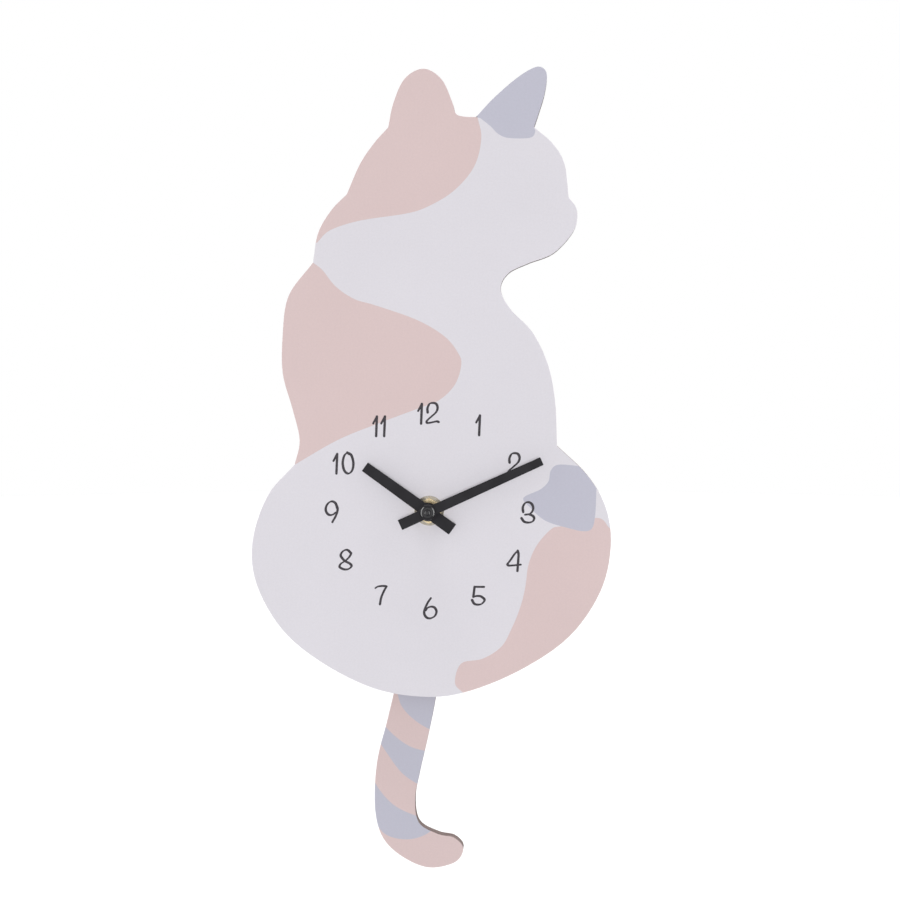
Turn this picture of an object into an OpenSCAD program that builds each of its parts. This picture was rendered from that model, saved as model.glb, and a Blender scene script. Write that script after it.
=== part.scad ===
// Cat tail clock: a flat cat-shaped wall clock whose tail is the pendulum.
// Frame: +Z up, +X to the right as seen from the front, the dial faces -Y and the wall is the
// plane y = 0. The origin is the centre of the nail hole in the hanger tab.
// Most shapes are drawn in the face frame: x right, y up from the hands' shaft, z forward from the wall.

/* [Board] */
// Thickness of the cut boards of the body and the tail
board_t = 5; // [4.6:0.1:5]
// Thickness of the printed film laminated on each board
film_t = 0.2; // [0.1:0.05:0.3]
// Diameter of the hole for the threaded bushing
hub_hole_d = 8.6; // [8.4:0.1:9]

/* [Time shown] */
// Hour that the hands show
hours = 10; // [0:1:11]
// Minute that the hands show
minutes = 10.9; // [0:0.1:59.9]

/* [Clock case] */
// Height of the nail hole above the hands' shaft
shaft_drop = 35; // [34.5:0.5:37]
// Width of the movement's case
case_w = 58; // [58:0.5:62]
// Depth of the movement's case, from the wall to its front
case_depth = 18; // [18:0.1:18.4]
// Wall thickness of the case and its cover
wall_t = 1.5; // [1.4:0.05:1.5]
// Width of the nail slot above the nail hole
slot_w = 3.8; // [3.4:0.1:4.2]
// Diameter of the nail hole
nail_hole_d = 8.4; // [8:0.1:8.8]

/* [Gears] */
// Pressure angle of the gear teeth in degrees
pressure_angle = 20; // [20:1:22]
// Tooth thickness as a share of half the tooth pitch
tooth_share = 0.8; // [0.74:0.02:0.82]
// Radial running clearance of the shafts in their bores
running_gap = 0.05; // [0.03:0.01:0.08]

/* [Pendulum] */
// Height of the hands' shaft above the pendulum pin
pivot_drop = 33; // [33:0.1:33.4]
// How far the tail has swung from hanging straight, in degrees
swing_now = 6.7; // [5:0.1:8]

/* [Hidden] */
$fn = 64;

// ---- colours ----
mdf = "rosybrown";
abs_black = "#26262a";
hand_black = "#1b1b1d";
copper = "#b5652f";
bobbin_red = "#7a2f22";
brass = "#c9a550";
steel = "#b9bcc2";
white_pom = "#e9e7df";

// ---- distances from the wall (face frame z) ----
front_in = case_depth - wall_t;          // inner face of the case front
washer_z = case_depth;                   // rubber washer behind the board
rubber_t = 1;
board_z = washer_z + rubber_t;           // back of the body board
face_z = board_z + board_t;              // front of the body board
film_z = face_z + film_t;                // printed face
nut_z = film_z + 0.5;                    // the brass washer is 0.5 thick
pipe_end = case_depth + 13.8;
hour_z = case_depth + 12.9;              // back of the hour hand's blade
minute_z = case_depth + 15.6;            // back of the minute hand's blade
blade_t = 0.6;
shaft_end = case_depth + 19.2;

tail_z = 8.2;                            // back of the tail board
rod_t = 1.2;
lever_z = 8.4;
lever_t = 2;

// ---- gear layers, back faces ----
layer_a = front_in - 1.2;                // hour wheel and motion pinion
layer_b = front_in - 2.6;                // cannon pinion and motion wheel
layer_c = front_in - 4.0;                // centre wheel and third pinion
layer_d = front_in - 6.6;                // third wheel and second pinion
layer_e = front_in - 7.8;                // second wheel and fifth pinion
layer_f = front_in - 9.0;                // fifth wheel and rotor pinion
plate_z = front_in - 5.5;                // middle plate
plate_t = 1.2;
bridge_z = 3;                            // train bridge
bridge_t = 1;
stator_z = layer_f - 2.1;
stator_t = 0.8;
core_z = stator_z + 1.5 * stator_t;      // axis of the motor's coil
pcb_z = 5.5;
pcb_t = 1;

// ---- gear train: tooth counts and places ----
cannon_n = 12;
motion_n = 36;
motion_pinion_n = 10;
hour_n = 40;
centre_n = 60;
third_pinion_n = 8;
third_n = 64;
second_pinion_n = 8;
second_n = 60;
fifth_pinion_n = 10;
fifth_n = 40;
rotor_pinion_n = 8;
motion_a = 9;                            // centre distances
third_a = 11;
fifth_a = 10.5;
rotor_a = 7.2;
motion_dir = 180;                        // directions from one gear to the next
knob_dir = 180;
third_dir = 45;
fifth_dir = 110;
rotor_dir = 180;
motion_at = motion_a * [cos(motion_dir), sin(motion_dir)];
knob_at = motion_at + motion_a * [cos(knob_dir), sin(knob_dir)];
third_at = third_a * [cos(third_dir), sin(third_dir)];
fifth_at = fifth_a * [cos(fifth_dir), sin(fifth_dir)];
rotor_at = fifth_at + rotor_a * [cos(rotor_dir), sin(rotor_dir)];
coil_y = rotor_at.y + 11.4;              // the motor's coil lies along x
coil_x0 = rotor_at.x - 5.4;
coil_x1 = rotor_at.x + 2;

// ---- the case ----
case_top = 28;
case_bottom = -62;
inner_w = case_w - 2 * wall_t;
cover_gap = 0.2;                         // around the cover, inside the case walls
tab_w = 19;
tab_t = 2;
battery_y = -19.5;
battery_r = 7.25;
battery_z = 1.5 + battery_r;
battery_len = 50.5;
bay_top = -11.2;                         // walls of the battery bay, outer faces
bay_bottom = -27.8;
bay_wall = 0.8;
window_w = 51.8;
window_h = 14.8;
knob_r = 4.5;
mark_depth = 0.3;                        // marks sunk in the cover
mark_ring_in = 5.8;
mark_ring_out = 6.5;
pole_mark_y = -31;
screw_spots = [[-24, 23], [24, 23], [-24, -57], [24, -57]];
plate_posts = [[-12, -9], [2, 22], [20, 4]];
board_posts = [[24.8, 16.5], [14, -8.5]];  // posts of the circuit board
stator_pins = [[-15.6, 12.4], [-15.6, 7.2]];

// ---- the pendulum ----
pivot_at = [0, -pivot_drop];
pin_r = 1;
magnet_drop = 17;                        // below the pin
stud_drop = 36;
coil_at = [0, -pivot_drop - magnet_drop];
tail_holes = [50, 60];                   // screws of the tail, distances from the pin

// ---- helpers ----
module face_frame() { translate([0, 0, -shaft_drop]) rotate([90, 0, 0]) children(); }
module sheet(z, t) { face_frame() translate([0, 0, z]) linear_extrude(t) children(); }
module disc(at, r, z, t) { face_frame() translate([at.x, at.y, z]) cylinder(r = r, h = t); }
module tube(at, r_out, r_in, z, t) {
    face_frame() translate([at.x, at.y, z]) difference() {
        cylinder(r = r_out, h = t);
        translate([0, 0, -1]) cylinder(r = r_in, h = t + 2);
    }
}
module block(x, y, z) {
    face_frame() translate([x[0], y[0], z[0]]) cube([x[1] - x[0], y[1] - y[0], z[1] - z[0]]);
}
module along_x(x0, z, y) { face_frame() translate([x0, y, z]) rotate([0, 90, 0]) children(); }
// From w / 2 below c to w / 2 above it.
function span(c, w) = [c - w / 2, c + w / 2];
function arc(c, r, a0, a1, n) = [for (i = [0:n]) let (a = a0 + (a1 - a0) * i / n)
    [c.x + r * cos(a), c.y + r * sin(a)]];
function box_outline(w, y0, y1, r) = concat(
    arc([w / 2 - r, y1 - r], r, 0, 90, 6), arc([r - w / 2, y1 - r], r, 90, 180, 6),
    arc([r - w / 2, y0 + r], r, 180, 270, 6), arc([w / 2 - r, y0 + r], r, 270, 360, 6));
// The points p of a right-hand edge, then their mirror images in reverse.
function both_sides(p) = concat(p, [for (i = [len(p) - 1:-1:0]) [-p[i].x, p[i].y]]);

// A smooth run through the points p: a Catmull-Rom curve with n chords between two points.
function before(p, i) = i > 0 ? p[i - 1] : 2 * p[0] - p[1];
function after(p, i) = i < len(p) - 1 ? p[i + 1] : 2 * p[len(p) - 1] - p[len(p) - 2];
function along(a, b, c, d, t) = 0.5 * (2 * b + (c - a) * t
    + (2 * a - 5 * b + 4 * c - d) * t * t + (3 * b - a - 3 * c + d) * t * t * t);
function run(p, n = 6) = [for (i = [0:len(p) - 2]) for (k = [0:n - 1])
    along(before(p, i), p[i], p[i + 1], after(p, i + 1), k / n)];

// Outline of the cat's back view, clockwise. Each run ends where the outline has a corner, and
// the next one starts there.
ear_right = [[22.5, 188], [30.5, 196.5], [41, 205.5], [49, 210.5], [53.5, 211], [56, 207.5], [55, 199],
             [52.5, 190.5], [50, 183]];
cheek = [[50, 183], [59, 175], [64.5, 165.5], [66.5, 150]];
muzzle = [[66.5, 150], [70.5, 143.5], [69, 134], [59.5, 123.5], [47.5, 118.7], [38, 114], [34.3, 106.5],
          [39, 97], [49.5, 86], [57, 70.5], [60.5, 53], [61.5, 31.5]];
haunch = [[61.5, 31.5], [76, 17.5], [85, 2], [87.5, -17], [82.5, -39], [67.5, -61], [43, -78],
          [16, -89], [-5, -91], [-28, -87], [-52.5, -75], [-72, -59], [-84.5, -37],
          [-86.5, -16], [-79, 6.5], [-65.5, 22]];
back = [[-65.5, 22], [-63, 34], [-66.5, 49.5], [-71, 66], [-71, 84], [-68, 103.5], [-56, 119.5]];
nape = [[-56, 119.5], [-53.5, 133.5], [-47, 144.5], [-39.5, 152]];
head = [[-39.5, 152], [-33, 166.5], [-26, 176.5], [-19.5, 183.5]];
ear_left = [[-19.5, 183.5], [-17, 195], [-11.5, 206.5], [-2.5, 211], [6, 206], [11, 195.5],
            [12.8, 189.8], [16.5, 188.3], [22.5, 188]];
cat_outline = concat(run(ear_right), run(cheek), run(muzzle), run(haunch), run(back), run(nape),
                     run(head), run(ear_left));

// Outline of the tail as it hangs after a swing of tail_swing, clockwise from its hidden top end.
tail_swing = 6.7;
tail_edge = [[3.5, -74], [2.5, -92], [-1, -111], [-5.5, -131], [-8, -145], [-6, -157], [3.5, -162.5],
             [11.5, -164.2], [16, -169.5], [12, -176.5], [-1, -179.5], [-14, -174.5], [-24, -165],
             [-28, -150], [-27, -127], [-22, -106.5], [-18, -90], [-14.5, -77]];
tail_outline = concat(run(tail_edge), [[-14.5, -77], [-11.5, -73], [0, -71.5]]);

// ---- gears ----
function involute(a) = tan(a) * 180 / PI - a;
function flank(m, n, r) = let (rp = m * n / 2, rb = rp * cos(pressure_angle),
                               a = r > rb ? acos(rb / r) : 0)
    tooth_share * 90 / n + involute(pressure_angle) - involute(a);
// Points of one gear: root, base circle, middle and tip on each side of each tooth.
function gear_points(m, n, phase) = let (
        rp = m * n / 2, root = rp - 1.15 * m, tip = rp + 0.85 * m,
        base = max(root + 0.05 * m, rp * cos(pressure_angle)), mid = (base + tip) / 2)
    [for (k = [0:n - 1]) for (s = [-1, 1]) for (r = s < 0 ? [root, base, mid, tip]
                                                          : [tip, mid, base, root])
        let (a = phase + 360 * k / n + s * flank(m, n, r)) [r * cos(a), r * sin(a)]];
module gear(at, m, n, phase, z, t, bore = 0) {
    face_frame() translate([at.x, at.y, z]) difference() {
        linear_extrude(t) polygon(gear_points(m, n, phase));
        if (bore > 0) translate([0, 0, -1]) cylinder(r = bore, h = t + 2);
    }
}
// Phase that puts a gap of the driven gear over a tooth of the driving one.
function mesh_phase(n_a, phase_a, n_b, dir) = dir + 180 + 180 / n_b + (dir - phase_a) * n_a / n_b;
function gear_module(a, n_a, n_b) = 2 * a / (n_a + n_b);
motion_m = gear_module(motion_a, cannon_n, motion_n);
hour_m = gear_module(motion_a, motion_pinion_n, hour_n);
centre_m = gear_module(third_a, third_pinion_n, centre_n);
third_m = gear_module(third_a, second_pinion_n, third_n);
second_m = gear_module(fifth_a, fifth_pinion_n, second_n);
fifth_m = gear_module(rotor_a, rotor_pinion_n, fifth_n);
motion_phase = mesh_phase(cannon_n, 0, motion_n, motion_dir);
knob_phase = mesh_phase(motion_n, motion_phase, cannon_n, knob_dir);
hour_phase = mesh_phase(motion_pinion_n, 0, hour_n, motion_dir + 180);
third_phase = mesh_phase(second_pinion_n, 0, third_n, third_dir);
centre_phase = mesh_phase(third_pinion_n, 0, centre_n, third_dir + 180);
fifth_phase = mesh_phase(second_n, 0, fifth_pinion_n, fifth_dir);
rotor_phase = mesh_phase(fifth_n, 0, rotor_pinion_n, rotor_dir);
// A wheel's web: a disc with round lightening holes.
module web_holes(at, count, ring, r, z, t) {
    for (k = [0:count - 1])
        disc(at + ring * [cos(360 * k / count), sin(360 * k / count)], r, z - 1, t + 2);
}

// ---- boards and films ----
module body_board() {
    color(mdf) sheet(board_z, board_t) difference() {
        polygon(cat_outline);
        circle(d = hub_hole_d);
    }
}
module face_film() {
    color("lavender") sheet(face_z, film_t) difference() {
        polygon(cat_outline);
        circle(d = hub_hole_d);
    }
}
// The pendulum's own frame: origin on the pin, y up along the lever.
module swung() {
    face_frame() translate([pivot_at.x, pivot_at.y, 0]) rotate(-swing_now) children();
}
module tail_sheet(z, t) {
    swung() rotate(tail_swing) translate([-pivot_at.x, -pivot_at.y, z])
        linear_extrude(t) polygon(tail_outline);
}
module tail_board() {
    color(mdf) difference() {
        tail_sheet(tail_z, board_t);
        for (d = tail_holes) swung() translate([0, -d, tail_z - 1]) cylinder(r = 1, h = 4.5);
    }
}
module tail_film() { color("mistyrose") tail_sheet(tail_z + board_t, film_t); }

// ---- case of the movement ----
module boss(at, r, z) { disc(at, r, z, front_in - z + 0.1); }
module case_front() {
    color(abs_black) difference() {
        union() {
            difference() {
                sheet(0, case_depth) polygon(box_outline(case_w, case_bottom, case_top, 4));
                sheet(-1, front_in + 1)
                    polygon(box_outline(inner_w, case_bottom + wall_t, case_top - wall_t, 2.5));
            }
            // hanger tab at the wall
            sheet(0, tab_t) polygon(concat(arc([0, shaft_drop], tab_w / 2, 0, 180, 24),
                [[-tab_w / 2 - 2, case_top - 0.5], [tab_w / 2 + 2, case_top - 0.5]]));
            // battery bay, screw bosses and posts for the train
            for (y = [bay_bottom, bay_top - bay_wall])
                block(span(0, inner_w + 0.2), [y, y + bay_wall], [wall_t + 0.1, front_in + 0.1]);
            for (p = screw_spots) boss(p, 2.6, wall_t + 0.1);
            for (p = plate_posts) boss(p, 2, plate_z + plate_t);
            for (p = plate_posts) boss(p, 1.1, plate_z);
            boss(pivot_at, 3, front_in - 4);
            boss(third_at, 1.4, front_in - 1.4);
            boss(motion_at, 0.8, layer_b - 0.1);
            for (p = board_posts) boss(p, 1.5, pcb_z + pcb_t);
            for (p = board_posts) boss(p, 0.7, pcb_z - 0.4);
        }
        disc([0, 0], 4.62, front_in - 1, wall_t + 2);
        sheet(-1, tab_t + 2) union() {
            translate([0, shaft_drop]) circle(d = nail_hole_d);
            translate([-slot_w / 2, shaft_drop]) square([slot_w, 5.4]);
            translate([0, shaft_drop + 5.4]) circle(d = slot_w);
        }
        for (p = screw_spots) disc(p, 0.85, wall_t - 1, 9);
        disc(third_at, 0.5 + running_gap, front_in - 2, 2.4);
        disc(knob_at, 0.8 + running_gap, front_in - 1, 1.8);
        disc(pivot_at, pin_r + 0.02, front_in - 5, 5.4);
        // slot in the floor for the lever
        block(span(0, 19), [case_bottom - 1, case_bottom + wall_t + 1], [-1, 13]);
    }
}
// A curved arrow round the setting knob, between the directions a0 and a1.
module turn_arrow(a0, a1) {
    middle = (mark_ring_in + mark_ring_out) / 2;
    polygon(concat(arc(knob_at, mark_ring_out, a0, a1, 12), arc(knob_at, mark_ring_in, a1, a0, 12)));
    translate(knob_at) rotate(a1) translate([middle, 0]) polygon([[-1.2, -0.1], [1.2, -0.1], [0, 1.9]]);
}
module back_cover() {
    color(abs_black) difference() {
        union() {
            sheet(0, wall_t) polygon(box_outline(inner_w - 2 * cover_gap,
                case_bottom + wall_t + cover_gap, case_top - wall_t - cover_gap, 2.3));
            disc(pivot_at, 3, wall_t - 0.1, 3.1);
        }
        block(span(0, window_w), span(battery_y, window_h), [-1, wall_t + 1]);
        disc(knob_at, knob_r + 0.1, -1, wall_t + 2);
        for (p = screw_spots) disc(p, 1.1, -1, wall_t + 2);
        for (p = screw_spots) disc(p, 2.1, -1, 2);
        disc(pivot_at, pin_r + 0.02, 1, 4.5);
        // moulded marks: which way to turn the knob, and the battery's poles
        sheet(-1, 1 + mark_depth) union() {
            turn_arrow(25, 140);
            turn_arrow(205, 320);
            for (x = [-20, 20]) translate([x, pole_mark_y]) square([3.6, 0.8], center = true);
            translate([20, pole_mark_y]) square([0.8, 3.6], center = true);
        }
    }
}
module cover_screws() {
    color(steel) for (p = screw_spots) face_frame() translate([p.x, p.y, 0]) difference() {
        union() {
            translate([0, 0, 0.1]) cylinder(r = 1.9, h = 0.9);
            translate([0, 0, 0.9]) cylinder(r = 0.8, h = 5.6);
        }
        for (a = [0, 90]) rotate(a) translate([-1.2, -0.2, -0.3]) cube([2.4, 0.4, 0.8]);
    }
}

// ---- plates ----
plate_outline = [[-15, -11], [-9, -11], [8, -10.5], [21, -1], [23.5, 4], [22, 7.5], [17, 13], [6, 24.5],
                 [0, 25], [-4, 22], [-17.5, 14.5], [-17.5, 6.5], [-15.8, 4], [-15.8, -4]];
bridge_outline = [[-14.8, -11], [-9.2, -11], [1.5, -3], [12, 3.5], [22.5, 1.5], [23, 6], [11, 11.5],
                  [5, 24.3], [-0.7, 24.3], [-4, 13.2], [-13.8, 12.8], [-14, 6.8], [-5.5, 6], [-4.5, -2]];
module middle_plate() {
    color(white_pom) difference() {
        union() {
            sheet(plate_z, plate_t) polygon(plate_outline);
            for (p = plate_posts) disc(p, 1.8, bridge_z + bridge_t, plate_z - bridge_z - bridge_t + 0.1);
            for (p = plate_posts) disc(p, 1, bridge_z - 0.3, 2);
            for (p = stator_pins) disc(p, 0.9, stator_z + 0.8, plate_z - stator_z - 0.7);
            for (p = stator_pins) disc(p, 0.5, stator_z - 0.2, 2);
        }
        for (p = plate_posts) disc(p, 1.1 + running_gap, plate_z - 0.4, plate_t + 1);
        disc([0, 0], 1.2 + running_gap, plate_z + 0.6, 1);
        disc([0, 0], 0.5 + running_gap, plate_z - 1, 3);
        disc(third_at, 1.3, plate_z - 1, plate_t + 2);
        disc(fifth_at, 0.5 + running_gap, plate_z - 1, plate_t + 2);
        disc(rotor_at, 0.4 + running_gap, plate_z - 1, plate_t + 2);
    }
}
module train_bridge() {
    color(white_pom) difference() {
        sheet(bridge_z, bridge_t) polygon(bridge_outline);
        for (p = plate_posts) disc(p, 1 + running_gap, bridge_z - 1, bridge_t + 2);
        for (p = [[0, 0], third_at, fifth_at]) disc(p, 0.5 + running_gap, bridge_z - 1, bridge_t + 2);
        disc(rotor_at, 0.4 + running_gap, bridge_z - 1, bridge_t + 2);
    }
}

// ---- bushing, washers and nut ----
module threaded_bushing() {
    ridges = [for (k = [0:23]) each [[4, 18.5 + 0.375 * k], [3.78, 18.6875 + 0.375 * k]]];
    color(brass) face_frame() translate([0, 0, case_depth - 18]) rotate_extrude($fn = 96)
        polygon(concat([[2.58, 16.5], [4.6, 16.5], [4.6, 18], [4, 18]], ridges,
                       [[3.8, 27.5], [2.58, 27.5]]));
}
module rubber_washer() { color("#303030") tube([0, 0], 9, 4.1, washer_z, rubber_t); }
module brass_washer() { color(brass) tube([0, 0], 7.25, 4.1, film_z, 0.5); }
module hex_nut() {
    color(brass) face_frame() translate([0, 0, nut_z]) difference() {
        intersection() {
            rotate(30) cylinder(d = 11 / cos(30), h = 2, $fn = 6);
            // turned chamfer that rounds off the corners
            rotate_extrude() polygon([[0, 0], [5.9, 0], [6.5, 0.35], [6.5, 1.65], [5.9, 2], [0, 2]]);
        }
        translate([0, 0, -1]) cylinder(r = 4.03, h = 4);
    }
}

// ---- hands ----
hour_angle = 30 * (hours + minutes / 60);
minute_angle = 6 * minutes;
module blade(tail, tip, w_tail, w_tip, boss_d) {
    polygon([[-w_tail / 2, -tail], [w_tail / 2, -tail], [w_tip / 2, tip], [-w_tip / 2, tip]]);
    circle(d = boss_d);
}
module hour_hand() {
    color(hand_black) face_frame() rotate(-hour_angle) difference() {
        union() {
            translate([0, 0, hour_z]) linear_extrude(blade_t) blade(14.35, 37.3, 6, 5, 9);
            translate([0, 0, hour_z - 1.2]) cylinder(r = 3.4, h = 1.3);
        }
        translate([0, 0, hour_z - 3]) cylinder(r = 2.51, h = 6);
    }
}
module minute_hand() {
    color(hand_black) face_frame() rotate(-minute_angle) difference() {
        union() {
            translate([0, 0, minute_z]) linear_extrude(blade_t) blade(14.6, 59.7, 5.2, 4, 8.2);
            translate([0, 0, minute_z - 1.2]) cylinder(r = 2.7, h = 1.3);
        }
        translate([0, 0, minute_z - 3]) cylinder(r = 1.62, h = 6);
    }
}
module minute_hand_bush() {
    color(hand_black) face_frame() translate([0, 0, minute_z + blade_t]) rotate_extrude()
        polygon([[1.62, 0], [3.8, 0], [3.8, 0.5], [3.55, 1], [3, 1.4], [2.3, 1.6], [1.62, 1.6]]);
}

// ---- motion work, in front of the middle plate ----
module hour_wheel() {
    color(white_pom) difference() {
        union() {
            gear([0, 0], hour_m, hour_n, hour_phase, layer_a, 1);
            disc([0, 0], 2.5, layer_a, pipe_end - layer_a);
        }
        disc([0, 0], 1.6 + running_gap, layer_a - 1, 30);
        web_holes([0, 0], 4, 4.6, 1.2, layer_a, 1);
    }
}
module centre_arbor() {
    color("#2b2b2e") union() {
        disc([0, 0], 1.2, plate_z + 0.7, layer_b - plate_z - 0.6);
        disc([0, 0], 1.6, layer_b + 0.9, shaft_end - layer_b - 1.85);
        // rounded tip
        face_frame() translate([0, 0, shaft_end - 0.9]) rotate_extrude()
            polygon(concat([[0, -0.1], [1.6, -0.1]],
                           [for (a = [0:15:90]) [0.7 + 0.9 * cos(a), 0.9 * sin(a)]], [[0, 0.9]]));
        gear([0, 0], motion_m, cannon_n, 0, layer_b, 1);
    }
}
module centre_wheel() {
    color(white_pom) difference() {
        gear([0, 0], centre_m, centre_n, centre_phase, layer_c, 1, 1.2 + running_gap);
        web_holes([0, 0], 5, 5.6, 1.9, layer_c, 1);
    }
}
module clutch_spring() {
    color(steel) sheet(layer_b - 0.35, 0.3) difference() {
        union() {
            circle(r = 2.2);
            for (k = [0:2]) rotate(120 * k) translate([0, -0.6]) square([4, 1.2]);
        }
        circle(r = 1.2 + running_gap);
    }
}
module motion_wheel() {
    color(white_pom) difference() {
        union() {
            gear(motion_at, motion_m, motion_n, motion_phase, layer_b, 1);
            gear(motion_at, hour_m, motion_pinion_n, 0, layer_b + 0.9, 1.5);
        }
        web_holes(motion_at, 4, 4.4, 1.3, layer_b, 1);
        disc(motion_at, 0.8 + running_gap, layer_b - 1, 4);
    }
}
module setting_knob() {
    color("#3a3a3e") difference() {
        union() {
            sheet(0.4, 2.2) translate(knob_at) polygon([for (k = [0:71])
                (k % 2 == 0 ? knob_r : knob_r - 0.25) * [cos(5 * k), sin(5 * k)]]);
            disc(knob_at, 1.2, 2.5, layer_b - 2.4);
            disc(knob_at, 0.8, layer_b + 0.9, front_in - layer_b - 0.3);
            gear(knob_at, motion_m, cannon_n, knob_phase, layer_b, 1);
        }
        sheet(-0.1, 1.3) translate(knob_at) square([5, 1.2], center = true);
    }
}

// ---- going train, behind the middle plate ----
module third_wheel() {
    color(white_pom) union() {
        difference() {
            gear(third_at, third_m, third_n, third_phase, layer_d, 0.8);
            web_holes(third_at, 5, 5.6, 1.8, layer_d, 0.8);
        }
        disc(third_at, 1, layer_d + 0.7, layer_c - layer_d);
        gear(third_at, centre_m, third_pinion_n, 0, layer_c, 1);
        disc(third_at, 0.5, bridge_z + 0.2, layer_d - bridge_z);
        disc(third_at, 0.5, layer_c + 0.9, front_in - layer_c - 0.8);
    }
}
module second_wheel() {
    color(white_pom) union() {
        difference() {
            gear([0, 0], second_m, second_n, 0, layer_e, 0.8);
            web_holes([0, 0], 5, 5.2, 1.7, layer_e, 0.8);
        }
        gear([0, 0], third_m, second_pinion_n, 0, layer_e + 0.7, 1.3);
        disc([0, 0], 0.5, bridge_z + 0.2, plate_z - bridge_z + 0.2);
    }
}
module fifth_wheel() {
    color(white_pom) union() {
        gear(fifth_at, fifth_m, fifth_n, 0, layer_f, 0.8);
        gear(fifth_at, second_m, fifth_pinion_n, fifth_phase, layer_f + 0.7, 1.3);
        disc(fifth_at, 0.5, bridge_z + 0.2, plate_z - bridge_z + 0.6);
    }
}
module rotor() {
    color(white_pom) union() {
        gear(rotor_at, fifth_m, rotor_pinion_n, rotor_phase, layer_f - 0.2, 1.1);
        disc(rotor_at, 0.4, bridge_z + 0.2, plate_z - bridge_z + 0.6);
    }
}
module rotor_magnet() { color("#55565c") tube(rotor_at, 2.4, 0.42, layer_f - 2.8, 2.5); }
module stator() {
    color(steel) sheet(stator_z, stator_t) difference() {
        translate(rotor_at) union() {
            translate([-8.7, -4.2]) square([14, 8.4]);
            translate([-8.7, 4]) square([3, 9.4]);
            translate([2.3, 4]) square([3, 9.4]);
        }
        translate(rotor_at) circle(r = 2.9);
        for (p = stator_pins) translate(p) circle(r = 0.53);
    }
}
module coil_core() {
    color(steel) block([rotor_at.x - 8.7, rotor_at.x + 5.3], span(coil_y, 3),
                       [stator_z + stator_t, stator_z + 2 * stator_t]);
}
module coil_bobbin() {
    color(bobbin_red) difference() {
        along_x(coil_x0, core_z, coil_y) union() {
            cylinder(r = 1.9, h = coil_x1 - coil_x0);
            for (x = [0, coil_x1 - coil_x0 - 0.6]) translate([0, 0, x]) cylinder(r = 3.2, h = 0.6);
        }
        block([coil_x0 - 1, coil_x1 + 1], span(coil_y, 3.1), span(core_z, stator_t + 0.1));
    }
}
module coil_winding() {
    color(copper) along_x(coil_x0 + 0.65, core_z, coil_y) difference() {
        cylinder(r = 2.9, h = coil_x1 - coil_x0 - 1.3);
        translate([0, 0, -1]) cylinder(r = 1.92, h = 20);
    }
}

// ---- electronics and battery ----
module circuit_board() {
    color("#2f6b45") difference() {
        sheet(pcb_z, pcb_t)
            polygon([[12, -10.5], [26.5, -10.5], [26.5, 20], [23, 20], [23, 1], [12, 1]]);
        for (p = board_posts) disc(p, 0.8, pcb_z - 1, pcb_t + 2);
    }
}
module quartz_crystal() {
    color(steel) union() {
        face_frame() translate([24.8, 4, pcb_z + pcb_t + 1.1]) rotate([-90, 0, 0])
            cylinder(r = 1.1, h = 6.5);
        for (x = [24.4, 25.2]) block(span(x, 0.24), [2.5, 4.1], [pcb_z + pcb_t, pcb_z + pcb_t + 1.1]);
    }
}
module chip() {
    color("#141416") face_frame() translate([19, -5.5, pcb_z + pcb_t]) rotate_extrude()
        polygon([[0, 0], [3.4, 0], [3.2, 0.5], [2.4, 1], [1.2, 1.3], [0, 1.4]]);
}
module battery() {
    x0 = -battery_len / 2;
    color("#4c7a58") face_frame() translate([x0, battery_y, battery_z]) rotate([0, 90, 0])
        rotate_extrude($fn = 96) polygon([[0, 0], [6.6, 0], [7.1, 0.2], [7.1, 0.8], [7.25, 0.9],
            [7.25, 48.4], [7, 49], [3.2, 49.2], [2.75, 49.2], [2.75, 50.3], [2.5, 50.5], [0, 50.5]]);
}
module battery_spring() {
    x = -inner_w / 2 + 0.05;
    color(steel) face_frame() translate([x, battery_y + 4, 2.6]) rotate([90, 0, 0]) linear_extrude(8)
        polygon([[0, 0], [0.4, 0], [0.4, 1.5], [2.15, 6.1], [1.9, 7.2], [0.4, 11.5], [0, 11.5]]);
}
module battery_plate() {
    x = inner_w / 2 - 0.05;
    color(steel) union() {
        block([x - 0.4, x], span(battery_y, 10), [2.6, 14.6]);
        along_x(x - 2.15, battery_z, battery_y) cylinder(r1 = 1.6, r2 = 2.6, h = 1.8);
    }
}

// ---- pendulum ----
module pendulum_pin() { color(steel) disc(pivot_at, pin_r, 1.2, front_in - 1); }
module pendulum_lever() {
    color(white_pom) swung() difference() {
        union() {
            translate([0, 0, 5]) cylinder(r = 2.8, h = 7);
            translate([0, 0, lever_z]) linear_extrude(lever_t) polygon(both_sides([[2.6, 0.6], [1.9, -12],
                [1.7, -22], [2.2, -34], [2.2, -37.5], [1.2, -38.3]]));
            translate([0, -magnet_drop, lever_z]) cylinder(r = 5, h = lever_t);
            translate([0, -stud_drop, tail_z - rod_t - 1]) cylinder(r = 1, h = 2.5);
            translate([0, -stud_drop, tail_z - rod_t - 1.6]) cylinder(r = 1.5, h = 0.7);
        }
        cylinder(r = pin_r + running_gap, h = 20);
        translate([0, -magnet_drop, lever_z + 0.5]) cylinder(r = 4.02, h = 3);
    }
}
module pendulum_magnet() {
    color("#8d9096") swung() translate([0, -magnet_drop, lever_z + 0.5]) cylinder(r = 4, h = 2.2);
}
module drive_bobbin() {
    color(bobbin_red) difference() {
        union() {
            disc(coil_at, 3, front_in - 3.4, 3.4);
            for (z = [front_in - 3.4, front_in - 0.6]) disc(coil_at, 7.5, z, 0.6);
        }
        disc(coil_at, 2, front_in - 4, 5);
    }
}
module drive_winding() { color(copper) tube(coil_at, 7, 3.02, front_in - 2.75, 2.1); }
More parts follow.
